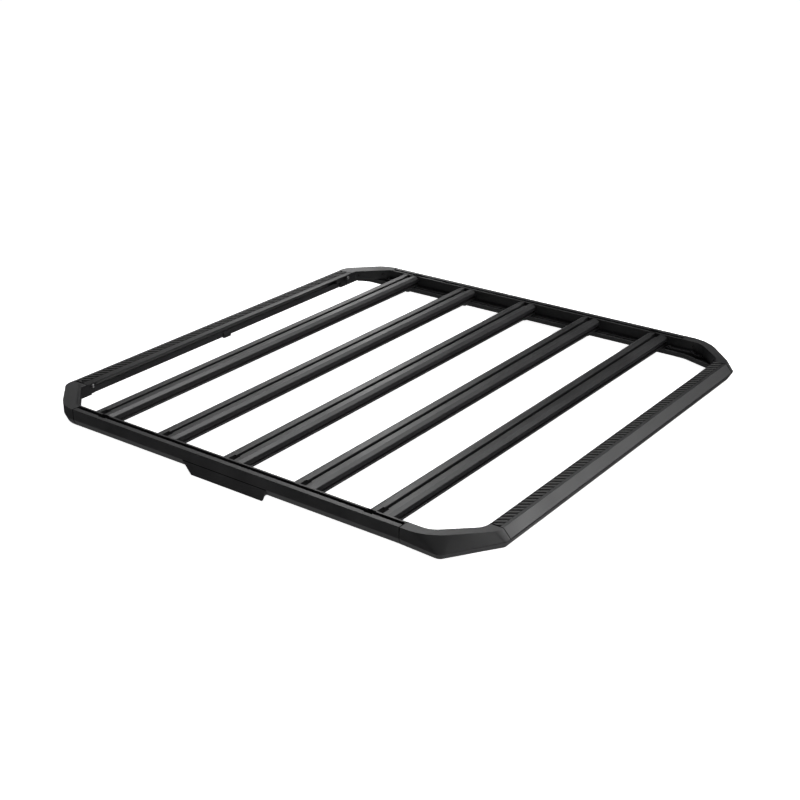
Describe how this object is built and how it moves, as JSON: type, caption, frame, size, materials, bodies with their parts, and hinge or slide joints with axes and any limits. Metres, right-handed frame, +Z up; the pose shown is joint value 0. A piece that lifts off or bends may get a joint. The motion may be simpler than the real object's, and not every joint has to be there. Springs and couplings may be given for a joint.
{
  "type": "flat platform roof rack",
  "caption": "Low flat platform roof rack: slotted aluminium bars across two slotted side rails, ribbed end rails and cast corners, for lashing loads on a vehicle roof.",
  "frame": {"origin": "under the middle of the rack, on the level of the side plates' lower edges, which it stands on", "axes": "+X towards the front along the side rails, +Y to the left along the bars, +Z up"},
  "size_m": [1.237, 1.258, 0.0568],
  "materials": {
    "coated_extrusion": "satin black powder coat on extruded aluminium",
    "coated_casting": "satin black powder coat on cast aluminium",
    "coated_plate": "satin black powder coat on aluminium plate",
    "grip_rubber": "matt black ribbed rubber",
    "black_nylon": "moulded black nylon"
  },
  "bodies": {
    "root": {"side_rail_left": "coated_extrusion", "side_plate_left": "coated_plate", "side_rail_right": "coated_extrusion", "side_plate_right": "coated_plate", "end_rail_front": "coated_extrusion", "grip_strip_front": "grip_rubber", "centre_clip_front": "black_nylon", "corner_front_left": "coated_casting", "joining_plate_front_left": "coated_plate", "corner_front_right": "coated_casting", "joining_plate_front_right": "coated_plate", "end_rail_rear": "coated_extrusion", "grip_strip_rear": "grip_rubber", "centre_clip_rear": "black_nylon", "corner_rear_left": "coated_casting", "joining_plate_rear_left": "coated_plate", "corner_rear_right": "coated_casting", "joining_plate_rear_right": "coated_plate", "crossbar_1": "coated_extrusion", "crossbar_2": "coated_extrusion", "crossbar_3": "coated_extrusion", "crossbar_4": "coated_extrusion", "crossbar_5": "coated_extrusion"}
  },
  "joints": []
}
